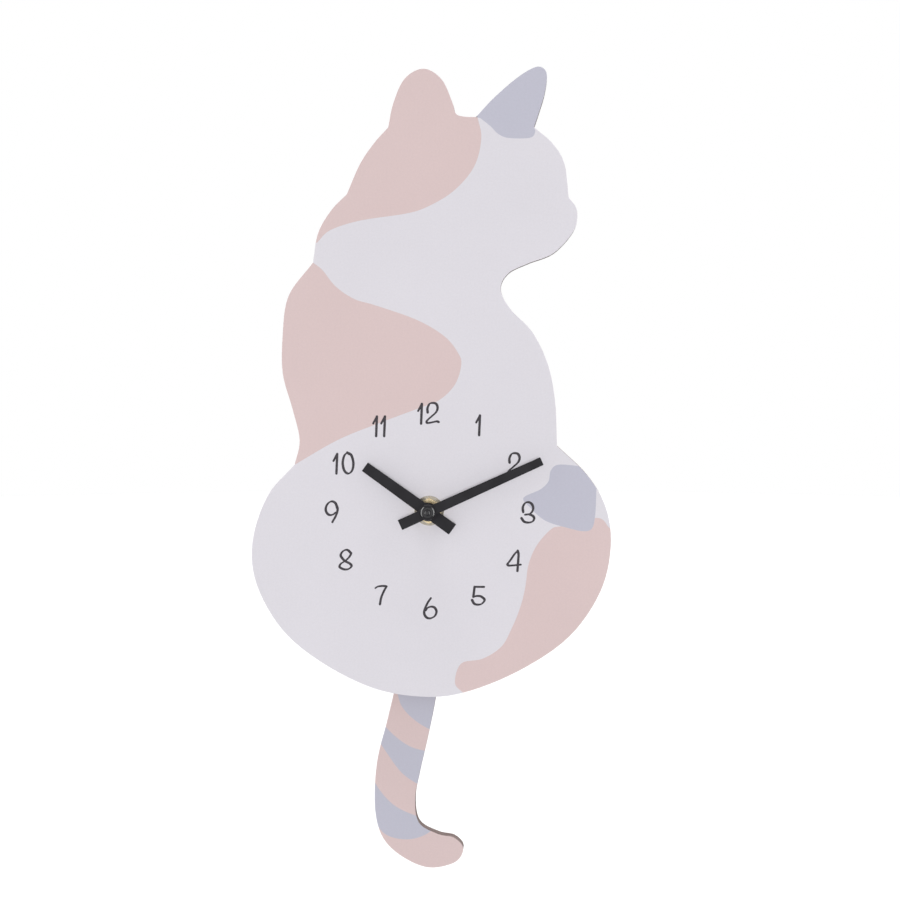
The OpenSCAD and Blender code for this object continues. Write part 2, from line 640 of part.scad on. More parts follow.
module pendulum_rod() {
    color(steel) swung() difference() {
        translate([0, 0, tail_z - rod_t]) linear_extrude(rod_t)
            polygon(both_sides([[2.6, -32.6], [3, -34], [3, -63], [2, -64]]));
        translate([0, -stud_drop, 0]) cylinder(r = 1.1, h = 20);
        for (d = tail_holes) translate([0, -d, 0]) cylinder(r = 1.15, h = 20);
    }
}
module tail_screws() {
    head = tail_z - rod_t - 1;
    color(steel) for (d = tail_holes) swung() translate([0, -d, head]) difference() {
        union() {
            cylinder(r = 2, h = 1);
            translate([0, 0, 0.9]) cylinder(r = 0.98, h = 4.4);
        }
        for (a = [45, 135]) rotate(a) translate([-1.2, -0.22, -0.5]) cube([2.4, 0.44, 1.1]);
    }
}

body_board();
face_film();
tail_board();
tail_film();
case_front();
back_cover();
cover_screws();
middle_plate();
train_bridge();
threaded_bushing();
rubber_washer();
brass_washer();
hex_nut();
hour_hand();
minute_hand();
minute_hand_bush();
hour_wheel();
centre_arbor();
centre_wheel();
clutch_spring();
motion_wheel();
setting_knob();
third_wheel();
second_wheel();
fifth_wheel();
rotor();
rotor_magnet();
stator();
coil_core();
coil_bobbin();
coil_winding();
circuit_board();
quartz_crystal();
chip();
battery();
battery_spring();
battery_plate();
pendulum_pin();
pendulum_lever();
pendulum_magnet();
drive_bobbin();
drive_winding();
pendulum_rod();
tail_screws();
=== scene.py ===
"""Looks of the cat tail clock: printed patches, tail stripes, numerals and the finish of every part.

Lengths are in metres in the row frame. Drawings of the printed face are in millimetres from the
hands' shaft, x to the right and z up, and placed() turns them into row coordinates.
"""

import math

import bmesh
import bpy
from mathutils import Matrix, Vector


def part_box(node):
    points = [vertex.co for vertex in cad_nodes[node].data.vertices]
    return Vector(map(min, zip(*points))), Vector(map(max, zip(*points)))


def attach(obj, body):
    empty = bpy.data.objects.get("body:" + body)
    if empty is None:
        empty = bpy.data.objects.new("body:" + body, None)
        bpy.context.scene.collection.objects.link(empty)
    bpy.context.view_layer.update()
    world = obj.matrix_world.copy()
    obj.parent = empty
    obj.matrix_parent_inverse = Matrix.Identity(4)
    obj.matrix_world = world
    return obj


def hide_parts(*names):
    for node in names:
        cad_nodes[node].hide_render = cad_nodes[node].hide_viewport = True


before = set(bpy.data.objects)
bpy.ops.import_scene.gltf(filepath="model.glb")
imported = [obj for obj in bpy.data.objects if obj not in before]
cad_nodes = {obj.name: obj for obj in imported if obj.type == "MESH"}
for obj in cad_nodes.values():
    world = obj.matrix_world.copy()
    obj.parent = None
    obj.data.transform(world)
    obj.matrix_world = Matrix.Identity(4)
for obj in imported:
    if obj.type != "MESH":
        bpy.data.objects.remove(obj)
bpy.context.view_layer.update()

SHAFT_Z = -35.0                          # height of the hands' shaft, mm
SAME_POINT = 1e-6                        # m, vertices closer than this are one
COPLANAR = math.radians(0.5)             # faces that differ by less are one flat face
FACE_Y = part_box("face_film")[0].y        # front of the printed face
FACE_BACK_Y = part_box("face_film")[1].y
TAIL_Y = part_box("tail_film")[0].y
TAIL_BACK_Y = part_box("tail_film")[1].y


def placed(x, z, y):
    """A point drawn in mm from the shaft, in row coordinates."""
    return Vector((x / 1000, y, (z + SHAFT_Z) / 1000))


# ---------------------------------------------------------------- materials
class Finish:
    """A Principled material being built. Patterns follow the piece's own coordinates, in metres."""

    def __init__(self, name, colour, roughness, **sockets):
        self.material = bpy.data.materials.new(name)
        self.material.use_nodes = True
        self.tree = self.material.node_tree
        self.tree.nodes.clear()
        self.shader = self.node("ShaderNodeBsdfPrincipled")
        output = self.node("ShaderNodeOutputMaterial")
        self.tree.links.new(self.shader.outputs["BSDF"], output.inputs["Surface"])
        self.colour = colour
        self.shader.inputs["Base Color"].default_value = (*colour, 1)
        self.shader.inputs["Roughness"].default_value = roughness
        for socket, value in sockets.items():
            self.shader.inputs[socket.replace("_", " ")].default_value = value
        self.where = self.node("ShaderNodeTexCoord").outputs["Object"]

    def node(self, kind, **settings):
        """A new shader node with its settings."""
        made = self.tree.nodes.new(kind)
        for key, value in settings.items():
            setattr(made, key, value)
        return made

    def feed(self, socket, value):
        """Links an output, or sets a plain value."""
        if isinstance(value, bpy.types.NodeSocket):
            self.tree.links.new(value, socket)
        else:
            socket.default_value = value

    def at(self, scale=(1, 1, 1), offset=(0, 0, 0)):
        """The piece's coordinates, scaled and moved."""
        mapping = self.node("ShaderNodeMapping")
        self.feed(mapping.inputs["Vector"], self.where)
        mapping.inputs["Location"].default_value = offset
        mapping.inputs["Scale"].default_value = scale
        return mapping.outputs["Vector"]

    def noise(self, grain, detail=2.0, stretch=(1, 1, 1), distortion=0.0):
        """Noise with features of about grain metres, longer along an axis with a small stretch."""
        made = self.node("ShaderNodeTexNoise")
        self.feed(made.inputs["Vector"], self.at(stretch))
        made.inputs["Scale"].default_value = 1 / grain
        made.inputs["Detail"].default_value = detail
        made.inputs["Distortion"].default_value = distortion
        return made.outputs["Fac"]

    def bands(self, axis, period, distortion=0.0):
        """Sine bands across one axis, a period in metres apart."""
        made = self.node("ShaderNodeTexWave", wave_type="BANDS", bands_direction=axis)
        self.feed(made.inputs["Vector"], self.where)
        made.inputs["Scale"].default_value = math.pi / 10 / period
        made.inputs["Distortion"].default_value = distortion
        made.inputs["Detail"].default_value = 1.0
        made.inputs["Detail Scale"].default_value = 1.5
        return made.outputs["Fac"]

    def rings(self, centre, period):
        """Turning marks: rings round an axis along Y through centre."""
        made = self.node("ShaderNodeTexWave", wave_type="RINGS", rings_direction="Y")
        self.feed(made.inputs["Vector"], self.at(offset=[-c for c in centre]))
        made.inputs["Scale"].default_value = math.pi / 10 / period
        made.inputs["Distortion"].default_value = 0.6
        made.inputs["Detail"].default_value = 2.0
        return made.outputs["Fac"]

    def combine(self, operation, a, b):
        """A math operation on two values."""
        made = self.node("ShaderNodeMath", operation=operation)
        self.feed(made.inputs[0], a)
        self.feed(made.inputs[1], b)
        return made.outputs[0]

    def spread(self, value, low, high, to_low=0.0, to_high=1.0):
        """A value between low and high, carried over to the range to_low to to_high."""
        made = self.node("ShaderNodeMapRange")
        self.feed(made.inputs["Value"], value)
        limits = {"From Min": low, "From Max": high, "To Min": to_low, "To Max": to_high}
        for socket, number in limits.items():
            made.inputs[socket].default_value = number
        return made.outputs["Result"]

    def axis(self, source, name):
        """One component, X, Y or Z, of a vector."""
        made = self.node("ShaderNodeSeparateXYZ")
        self.feed(made.inputs[0], source)
        return made.outputs[name]

    def facing(self, axis):
        """1 where the surface faces along the axis, either way, and 0 on its edges."""
        normal = self.node("ShaderNodeTexCoord").outputs["Normal"]
        return self.spread(self.combine("ABSOLUTE", self.axis(normal, axis), 0.0), 0.6, 0.8)

    def worn_edges(self, radius):
        """1 along sharp edges, patchy, within about radius."""
        rounded = self.node("ShaderNodeBevel", samples=4)
        rounded.inputs["Radius"].default_value = radius
        dot = self.node("ShaderNodeVectorMath", operation="DOT_PRODUCT")
        self.feed(dot.inputs[0], rounded.outputs["Normal"])
        self.feed(dot.inputs[1], self.node("ShaderNodeNewGeometry").outputs["Normal"])
        edge = self.spread(self.combine("SUBTRACT", 1.0, dot.outputs["Value"]), 0.02, 0.16)
        return self.combine("MULTIPLY", edge, self.spread(self.noise(0.004, 3), 0.35, 0.6))

    def blend(self, share, a, b):
        """Colour a to colour b by share."""
        made = self.node("ShaderNodeMix", data_type="RGBA")
        self.feed(made.inputs["Factor"], share)
        inputs = [i for i in made.inputs if i.type == "RGBA"]
        for socket, colour in zip(inputs, (a, b)):
            self.feed(socket, colour if isinstance(colour, bpy.types.NodeSocket) else (*colour, 1))
        return next(o for o in made.outputs if o.type == "RGBA")

    def tint(self, share, factor):
        """The base colour times factor, as far as share goes."""
        return self.blend(share, self.colour, tuple(c * factor for c in self.colour))

    def paint(self, colour):
        """Makes a colour output the base colour."""
        self.feed(self.shader.inputs["Base Color"], colour)

    def rough(self, value, low, high):
        """Roughness between low and high, following a noise value."""
        self.feed(self.shader.inputs["Roughness"], self.spread(value, 0.3, 0.7, low, high))

    def relief(self, height, depth, strength):
        """Bump of about depth metres."""
        made = self.node("ShaderNodeBump")
        made.inputs["Strength"].default_value = strength
        made.inputs["Distance"].default_value = depth
        self.feed(made.inputs["Height"], height)
        self.feed(self.shader.inputs["Normal"], made.outputs["Normal"])


def printed_film(name, colour):
    """Matt print on a film with a faint linen grain, a little rubbed here and there."""
    f = Finish(name, colour, 0.6, Specular_IOR_Level=0.25)
    across, along = 0.00062, 0.00055     # m between threads
    linen = f.combine("MULTIPLY", f.bands("X", across, 1.2), f.bands("Z", along, 1.2))
    fibres = f.noise(0.0009, 4)
    cloudy = f.noise(0.05, 2)
    tone = f.combine("ADD", f.combine("MULTIPLY", fibres, 0.6), f.combine("MULTIPLY", cloudy, 0.4))
    threads = f.tint(f.spread(tone, 0.35, 0.65), 0.955)
    raised = tuple(c * 1.04 for c in colour)
    f.paint(f.blend(f.spread(linen, 0, 1, 0, 0.35), threads, raised))
    f.rough(fibres, 0.52, 0.68)
    f.relief(f.combine("ADD", linen, fibres), 0.00003, 0.5)
    return f.material


def fibreboard():
    """Pressed fibreboard: brown and speckled on its faces, darkened and layered on its cut edges."""
    f = Finish("fibreboard", (0.36, 0.25, 0.16), 0.75, Specular_IOR_Level=0.3)
    fibres = f.noise(0.0007, 6, stretch=(1, 1, 0.45), distortion=0.6)
    flecks = f.noise(0.0025, 3, stretch=(1, 1, 0.3), distortion=1.0)
    blotches = f.noise(0.03, 3)
    face = f.blend(f.spread(fibres, 0.3, 0.7), (0.4, 0.285, 0.185), (0.31, 0.21, 0.13))
    face = f.blend(f.spread(flecks, 0.62, 0.72, 0, 0.6), face, (0.2, 0.125, 0.075))
    face = f.blend(f.spread(blotches, 0.35, 0.7, 0, 0.35), face, (0.33, 0.225, 0.145))
    layers = f.noise(0.0011, 3, stretch=(0.15, 2.4, 0.15))
    scorch = f.noise(0.006, 2)
    edge = f.blend(f.spread(layers, 0.3, 0.7), (0.34, 0.26, 0.25), (0.19, 0.14, 0.13))
    edge = f.blend(f.spread(scorch, 0.4, 0.7, 0, 0.5), edge, (0.23, 0.16, 0.145))
    f.paint(f.blend(f.facing("Y"), edge, face))
    f.rough(fibres, 0.65, 0.9)
    f.relief(f.combine("ADD", fibres, f.combine("MULTIPLY", layers, 0.7)), 0.00012, 0.5)
    return f.material


def moulded(name, colour, grain, depth, roughness, wear, **sockets):
    """Moulded plastic: a spark-eroded grain, flow clouds and edges rubbed towards wear."""
    f = Finish(name, colour, roughness, **sockets)
    texture = f.noise(grain, 3)
    clouds = f.noise(0.018, 2)
    body = f.tint(f.spread(clouds, 0.35, 0.65), 0.86)
    body = f.blend(f.spread(texture, 0.35, 0.65, 0, 0.3), body, tuple(c * 1.15 for c in colour))
    f.paint(f.blend(f.worn_edges(0.0003), body, wear))
    f.rough(texture, roughness - 0.07, roughness + 0.07)
    f.relief(texture, depth, 0.6)
    return f.material


def turned_brass(name, colour, tarnished):
    """Bright turned brass with ring marks and a little tarnish."""
    f = Finish(name, colour, 0.26, Metallic=1.0)
    marks = f.rings((0, 0, SHAFT_Z / 1000), 0.00022)
    tarnish = f.noise(0.0025, 4, distortion=0.5)
    body = f.blend(f.spread(tarnish, 0.5, 0.75), f.colour, tarnished)
    f.paint(f.blend(f.worn_edges(0.0002), body, (0.9, 0.8, 0.58)))
    shine = f.combine("ADD", f.combine("MULTIPLY", marks, 0.5), f.combine("MULTIPLY", tarnish, 0.5))
    f.rough(shine, 0.2, 0.42)
    f.relief(marks, 0.000012, 0.6)
    return f.material


def plated_steel():
    """Nickel-plated steel with fine rolling lines and smudges."""
    f = Finish("plated_steel", (0.6, 0.6, 0.59), 0.3, Metallic=1.0)
    lines = f.noise(0.0007, 3, stretch=(4, 1, 0.12))
    smudges = f.noise(0.006, 3)
    colour = f.blend(f.spread(smudges, 0.4, 0.75, 0, 0.5), f.colour, (0.45, 0.44, 0.42))
    f.paint(f.blend(f.worn_edges(0.0002), colour, (0.8, 0.8, 0.79)))
    shine = f.combine("ADD", f.combine("MULTIPLY", lines, 0.6), f.combine("MULTIPLY", smudges, 0.4))
    f.rough(shine, 0.22, 0.48)
    f.relief(lines, 0.00001, 0.5)
    return f.material


def magnet_metal():
    """Sintered magnet: dull plating with pits and chipped edges."""
    f = Finish("magnet_metal", (0.33, 0.33, 0.34), 0.42, Metallic=1.0)
    pits = f.noise(0.0004, 4)
    colour = f.blend(f.spread(pits, 0.45, 0.7), f.colour, (0.2, 0.2, 0.2))
    f.paint(f.blend(f.worn_edges(0.0002), colour, (0.12, 0.115, 0.11)))
    f.rough(pits, 0.35, 0.6)
    f.relief(pits, 0.00003, 0.5)
    return f.material


def wound_copper(name, axis):
    """Enamelled wire wound in close turns along an axis, with painted shade in the grooves between the turns.
    """
    f = Finish(name, (0.5, 0.19, 0.07), 0.3, Metallic=0.85, Coat_Weight=0.4, Coat_Roughness=0.15)
    turns = f.bands(axis, 0.00016, 0.3)
    wander = f.noise(0.0015, 2)
    # the dark colour at the low end of the turn bands is painted shade in the grooves between turns, not a
    # colour of the wire
    f.paint(f.blend(f.spread(turns, 0.15, 0.8), (0.2, 0.06, 0.02), f.tint(wander, 1.25)))
    f.rough(wander, 0.24, 0.4)
    f.relief(turns, 0.00006, 0.9)
    return f.material


def hand_paint():
    """Matt charcoal paint on a stamped blade, rubbed brighter along its edges."""
    f = Finish("hand_paint", (0.0115, 0.0106, 0.0135), 0.5, Specular_IOR_Level=0.19)
    peel = f.noise(0.0005, 3)
    drift = f.noise(0.012, 2)
    body = f.blend(f.spread(drift, 0.35, 0.65), f.colour, (0.018, 0.0168, 0.0205))
    f.paint(f.blend(f.worn_edges(0.00018), body, (0.05, 0.048, 0.05)))
    f.rough(peel, 0.42, 0.58)
    f.relief(peel, 0.00001, 0.5)
    return f.material


def dark_rubber():
    """Matt rubber with bloom."""
    f = Finish("dark_rubber", (0.022, 0.022, 0.023), 0.8, Specular_IOR_Level=0.3)
    bloom = f.noise(0.003, 4)
    f.paint(f.blend(f.spread(bloom, 0.45, 0.75), f.colour, (0.06, 0.06, 0.062)))
    f.rough(bloom, 0.7, 0.9)
    f.relief(f.noise(0.0004, 3), 0.00004, 0.5)
    return f.material


def board_laminate():
    """Green solder mask over a glass weave, with the bare yellow laminate on its cut edges."""
    f = Finish("board_laminate", (0.02, 0.13, 0.055), 0.35, Coat_Weight=0.3, Coat_Roughness=0.2)
    thread = 0.0007                      # m between threads of the glass weave
    weave = f.combine("MULTIPLY", f.bands("X", thread), f.bands("Z", thread))
    mask = f.tint(f.spread(weave, 0, 1, 0, 0.8), 1.35)
    f.paint(f.blend(f.facing("Y"), (0.42, 0.36, 0.17), mask))
    f.rough(f.noise(0.002, 3), 0.28, 0.45)
    f.relief(weave, 0.00002, 0.5)
    return f.material


def battery_sleeve():
    """Green shrink sleeve with a gold top on a steel can, bare past both ends of the sleeve."""
    low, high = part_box("battery")
    gold_from = high.x - 0.0125
    bare_from = high.x - 0.00195
    bare_to = low.x + 0.001
    soft = 0.0001                        # m over which one colour turns into the next
    f = Finish("battery_sleeve", (0.03, 0.16, 0.085), 0.3, Coat_Weight=0.25, Coat_Roughness=0.12)
    along = f.axis(f.where, "X")
    sleeve = f.tint(f.spread(f.noise(0.01, 3), 0.35, 0.65), 1.3)
    sleeve = f.blend(f.spread(along, gold_from, gold_from + 2 * soft), sleeve, (0.5, 0.36, 0.16))
    positive = f.spread(along, bare_from, bare_from + soft)
    negative = f.spread(along, bare_to, bare_to - soft)
    bare = f.combine("MAXIMUM", positive, negative)
    f.paint(f.blend(bare, sleeve, (0.6, 0.6, 0.58)))
    f.feed(f.shader.inputs["Metallic"], bare)
    f.rough(f.noise(0.0012, 3), 0.22, 0.38)
    f.relief(f.noise(0.004, 2), 0.00005, 0.4)
    return f.material


def ink():
    """Dark grey print, a little uneven."""
    f = Finish("ink", (0.034, 0.029, 0.036), 0.5, Specular_IOR_Level=0.3)
    uneven = f.noise(0.0007, 3)
    f.paint(f.tint(f.spread(uneven, 0.4, 0.7), 1.5))
    f.rough(uneven, 0.42, 0.6)
    f.relief(uneven, 0.00001, 0.4)
    return f.material


WHITE = printed_film("film_white", (0.74, 0.717, 0.767))
PINK = printed_film("film_pink", (0.706, 0.558, 0.553))
BLUE = printed_film("film_blue", (0.533, 0.529, 0.62))
INK = ink()
FIBREBOARD = fibreboard()
CASE = moulded("case_black", (0.018, 0.018, 0.02), 0.0005, 0.00004, 0.42, (0.07, 0.07, 0.075))
COVER = moulded("cover_black", (0.021, 0.021, 0.0225), 0.0008, 0.00003, 0.34, (0.08, 0.08, 0.085))
GLOSSY = moulded("glossy_black", (0.014, 0.0135, 0.016), 0.0009, 0.000006, 0.16, (0.03, 0.03, 0.032),
                 Specular_IOR_Level=0.4)
KNOB = moulded("knob_black", (0.03, 0.03, 0.032), 0.0004, 0.00002, 0.4, (0.09, 0.09, 0.095))
ACETAL = moulded("acetal", (0.72, 0.7, 0.64), 0.0012, 0.00001, 0.38, (0.85, 0.84, 0.8),
                 Subsurface_Weight=0.12, Subsurface_Scale=0.001)
BOBBIN = moulded("bobbin_red", (0.2, 0.045, 0.03), 0.0006, 0.00001, 0.36, (0.35, 0.12, 0.09))
RESIN = moulded("chip_resin", (0.012, 0.012, 0.013), 0.0011, 0.00002, 0.25, (0.03, 0.03, 0.03))
BRASS = turned_brass("turned_brass", (0.8, 0.66, 0.42), (0.58, 0.46, 0.28))
DULL_BRASS = turned_brass("dull_brass", (0.45, 0.415, 0.36), (0.33, 0.3, 0.25))
HAND = hand_paint()
STEEL = plated_steel()
MAGNET = magnet_metal()

# each CAD node's material, and the width of the edge rounding that its making leaves, in mm
FINISHES = {
    "body_board": (FIBREBOARD, 0.12), "tail_board": (FIBREBOARD, 0.12),
    "case_front": (CASE, 0.3), "back_cover": (COVER, 0.25), "cover_screws": (STEEL, 0.1),
    "middle_plate": (ACETAL, 0.08), "train_bridge": (ACETAL, 0.08),
    "threaded_bushing": (BRASS, 0.0), "rubber_washer": (dark_rubber(), 0.15),
    "brass_washer": (DULL_BRASS, 0.08), "hex_nut": (BRASS, 0.1),
    "hour_hand": (HAND, 0.1), "minute_hand": (HAND, 0.1), "minute_hand_bush": (GLOSSY, 0.06),
    "hour_wheel": (ACETAL, 0.05), "centre_arbor": (GLOSSY, 0.08), "centre_wheel": (ACETAL, 0.05),
    "clutch_spring": (STEEL, 0.04), "motion_wheel": (ACETAL, 0.05), "setting_knob": (KNOB, 0.1),
    "third_wheel": (ACETAL, 0.04), "second_wheel": (ACETAL, 0.04), "fifth_wheel": (ACETAL, 0.04),
    "rotor": (ACETAL, 0.03), "rotor_magnet": (MAGNET, 0.1), "stator": (STEEL, 0.05),
    "coil_core": (STEEL, 0.05), "coil_bobbin": (BOBBIN, 0.08),
    "coil_winding": (wound_copper("wound_copper_x", "X"), 0.1),
    "circuit_board": (board_laminate(), 0.04), "quartz_crystal": (STEEL, 0.12), "chip": (RESIN, 0.0),
    "battery": (battery_sleeve(), 0.15), "battery_spring": (STEEL, 0.05), "battery_plate": (STEEL, 0.05),
    "pendulum_pin": (STEEL, 0.12), "pendulum_lever": (ACETAL, 0.12), "pendulum_magnet": (MAGNET, 0.2),
    "drive_bobbin": (BOBBIN, 0.1), "drive_winding": (wound_copper("wound_copper_y", "Y"), 0.1),
    "pendulum_rod": (STEEL, 0.1), "tail_screws": (STEEL, 0.1),
}


def dress(name, material, rounding):
    """Gives a CAD node its material and rounds its sharp edges by rounding mm."""
    node = cad_nodes[name]
    if not node.material_slots:
        node.data.materials.append(material)
    for s in node.material_slots:
        s.material = material
    weld = node.modifiers.new("weld", "WELD")
    weld.merge_threshold = SAME_POINT
    flat = node.modifiers.new("flat_faces", "DECIMATE")
    flat.decimate_type = "DISSOLVE"
    flat.angle_limit = COPLANAR
    if rounding:
        bevel = node.modifiers.new("rounding", "BEVEL")
        bevel.width = rounding / 1000
        bevel.segments = 2
        bevel.limit_method = "ANGLE"
        bevel.angle_limit = math.radians(32)
    normals = node.modifiers.new("normals", "WEIGHTED_NORMAL")
    normals.keep_sharp = False
    normals.weight = 80


for name, (material, rounding) in FINISHES.items():
    dress(name, material, rounding)


# ---------------------------------------------------------------- printed film
def between(a, b, c, d, t):
    """The Catmull-Rom value from b to c at t, with a before them and d after."""
    return 0.5 * (2 * b + (c - a) * t + (2 * a - 5 * b + 4 * c - d) * t * t
                  + (3 * b - a - 3 * c + d) * t ** 3)


def smooth(points, chords=6):
    """A Catmull-Rom curve through points, with its ends."""
    ends = [tuple(2 * a - b for a, b in zip(points[0], points[1])),
            tuple(2 * a - b for a, b in zip(points[-1], points[-2]))]
    p = [ends[0], *points, ends[1]]
    curve = []
    for i in range(1, len(p) - 2):
        for k in range(chords):
            around = zip(p[i - 1], p[i], p[i + 1], p[i + 2])
            curve.append(tuple(between(a, b, c, d, k / chords) for a, b, c, d in around))
    return curve + [tuple(points[-1])]


def prism(name, outline, y_front, y_back):
    """A mesh object: the outline, drawn in mm, between two distances along Y."""
    bm = bmesh.new()
    rings = [[bm.verts.new(placed(x, z, y)) for x, z in outline] for y in (y_front, y_back)]
    bm.faces.new(rings[0])
    bm.faces.new(reversed(rings[1]))
    for i in range(len(outline)):
        j = (i + 1) % len(outline)
        bm.faces.new((rings[0][j], rings[0][i], rings[1][i], rings[1][j]))
    bmesh.ops.recalc_face_normals(bm, faces=bm.faces)
    return from_bmesh(name, bm)


def from_bmesh(name, bm):
    """A new object in the scene from a bmesh, which is freed."""
    mesh = bpy.data.meshes.new(name)
    bm.to_mesh(mesh)
    bm.free()
    made = bpy.data.objects.new(name, mesh)
    bpy.context.scene.collection.objects.link(made)
    return made


def copy_of(node, name):
    """A welded copy of a CAD node, with its flat faces whole."""
    bm = bmesh.new()
    bm.from_mesh(cad_nodes[node].data)
    bmesh.ops.remove_doubles(bm, verts=bm.verts, dist=SAME_POINT)
    bmesh.ops.dissolve_limit(bm, angle_limit=COPLANAR, verts=bm.verts, edges=bm.edges)
    return from_bmesh(name, bm)


def cut(piece, cutters, operation):
    """Applies a boolean with each cutter to piece."""
    for cutter in cutters:
        step = piece.modifiers.new("cut", "BOOLEAN")
        step.operation = operation
        step.solver = "EXACT"
        step.use_self = operation == "UNION"
        step.object = cutter
    shaped = bpy.data.meshes.new_from_object(piece.evaluated_get(bpy.context.evaluated_depsgraph_get()))
    piece.modifiers.clear()
    piece.data = shaped
    shaped.name = piece.name
    return piece


def finish_film(piece, material, node, body):
    """Print on the faces, the scorched board colour on the cut edge, and a ride on the body."""
    piece.data.materials.clear()
    piece.data.materials.append(material)
    piece.data.materials.append(FIBREBOARD)
    for polygon in piece.data.polygons:
        polygon.use_smooth = False
        polygon.material_index = 0 if abs(polygon.normal.y) > 0.5 else 1
    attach(piece, body)
    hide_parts(node)


FAR = 110          # mm, well outside the outline
THROUGH = 0.001    # m by which a cutter stands out of the film on both sides

head_edge = smooth([
    (23, 188.5), (25, 178), (21.5, 164.5), (11.5, 153), (-1.5, 145.5), (-12, 142.5), (-33, 139.5),
    (-47.5, 135), (-54, 129)])
back_edge = smooth([
    (-56, 119.5), (-51.5, 116), (-45, 108), (-36, 102), (-26, 99), (-6, 92), (7.5, 84), (14, 76),
    (15.5, 70.5), (12.5, 61), (5, 53.5), (-5, 49.5), (-25, 42), (-44.5, 34), (-65.5, 22)])
haunch_edge = smooth([
    (87, -8), (81, -3), (64.5, -7), (59, -8.5), (52, -16.5), (48, -26), (46.5, -37), (44, -47), (40, -57),
    (35, -66), (26, -72), (15.5, -74.5), (12.5, -84), (16.5, -89)])
ear_edge = smooth([(24.5, 187.5), (29.5, 183.5), (33, 180), (38, 178), (48, 178), (50.5, 180.5), (50, 183)])
spot_edge = smooth([
    (80.5, 11.5), (80, -1), (78.5, -8), (74.5, -9.5), (67, -8), (56, -4.5), (48.5, 2), (45.5, 6.5),
    (53.5, 10.5), (57.5, 14.5), (58.5, 19.5), (62, 22.5), (71, 22), (72.5, 21.5)])
PATCHES = {
    "pink_head": head_edge + [(-FAR, 127), (-FAR, 230), (22.4, 230), (22.4, 189)],
    "pink_back": back_edge + [(-FAR, 22), (-FAR, 119.5)],
    "pink_haunch": haunch_edge + [(16.5, -FAR), (FAR, -FAR), (FAR, -8)],
    "blue_ear": ear_edge + [(FAR, 183), (FAR, 230), (22.5, 230), (22.5, 188)],
    "blue_spot": spot_edge + [(FAR, 21.5), (FAR, 11.5)],
}


def print_face():
    """Cuts the face film along the edges of its printed patches, one piece for each colour field."""
    cutters = {name: prism("cutter_" + name, outline, FACE_Y - THROUGH, FACE_BACK_Y + THROUGH)
               for name, outline in PATCHES.items()}
    for name, cutter in cutters.items():
        piece = cut(copy_of("face_film", "film_" + name), [cutter], "INTERSECT")
        if name == "pink_haunch":
            cut(piece, [cutters["blue_spot"]], "DIFFERENCE")
        finish_film(piece, BLUE if name.startswith("blue") else PINK, "face_film", "clock_body")
    ground = cut(copy_of("face_film", "film_ground"), cutters.values(), "DIFFERENCE")
    finish_film(ground, WHITE, "face_film", "clock_body")
    for cutter in cutters.values():
        bpy.data.objects.remove(cutter)


STRIPE_EDGES = [smooth(p) for p in (
    [(-17.5, -88), (-14.5, -98.5), (-6.5, -106.5), (4, -112)],
    [(-26, -105), (-18.5, -113), (-9.5, -119), (2, -121.5)],
    [(-28.5, -112), (-22, -122), (-14.5, -132), (-5.5, -138), (0, -139.5)],
    [(-31, -131), (-25.5, -141), (-17.5, -149), (-6, -154), (0, -155)],
    [(-30, -154), (-23, -163), (-12.5, -165.5), (-3, -163), (4, -157)])]


def print_tail():
    """Cuts the tail film into stripes: pink from edge 1 to 2, 3 to 4 and past the last, else blue."""
    upper, tip = STRIPE_EDGES[:4], STRIPE_EDGES[4]
    pinks = {
        "pink_stripe_upper": upper[0] + upper[1][::-1] + [(-40, -100), (-40, -60), (-17.5, -60)],
        "pink_stripe_lower": upper[2] + upper[3][::-1],
        "pink_tip": tip + [(40, -157), (40, -200), (-60, -200), (-60, -154)],
    }
    cutters = {name: prism("cutter_" + name, outline, TAIL_Y - THROUGH, TAIL_BACK_Y + THROUGH)
               for name, outline in pinks.items()}
    for name, cutter in cutters.items():
        piece = cut(copy_of("tail_film", "film_" + name), [cutter], "INTERSECT")
        finish_film(piece, PINK, "tail_film", "pendulum")
    ground = cut(copy_of("tail_film", "film_blue_stripes"), cutters.values(), "DIFFERENCE")
    finish_film(ground, BLUE, "tail_film", "pendulum")
    for cutter in cutters.values():
        bpy.data.objects.remove(cutter)


print_face()
print_tail()


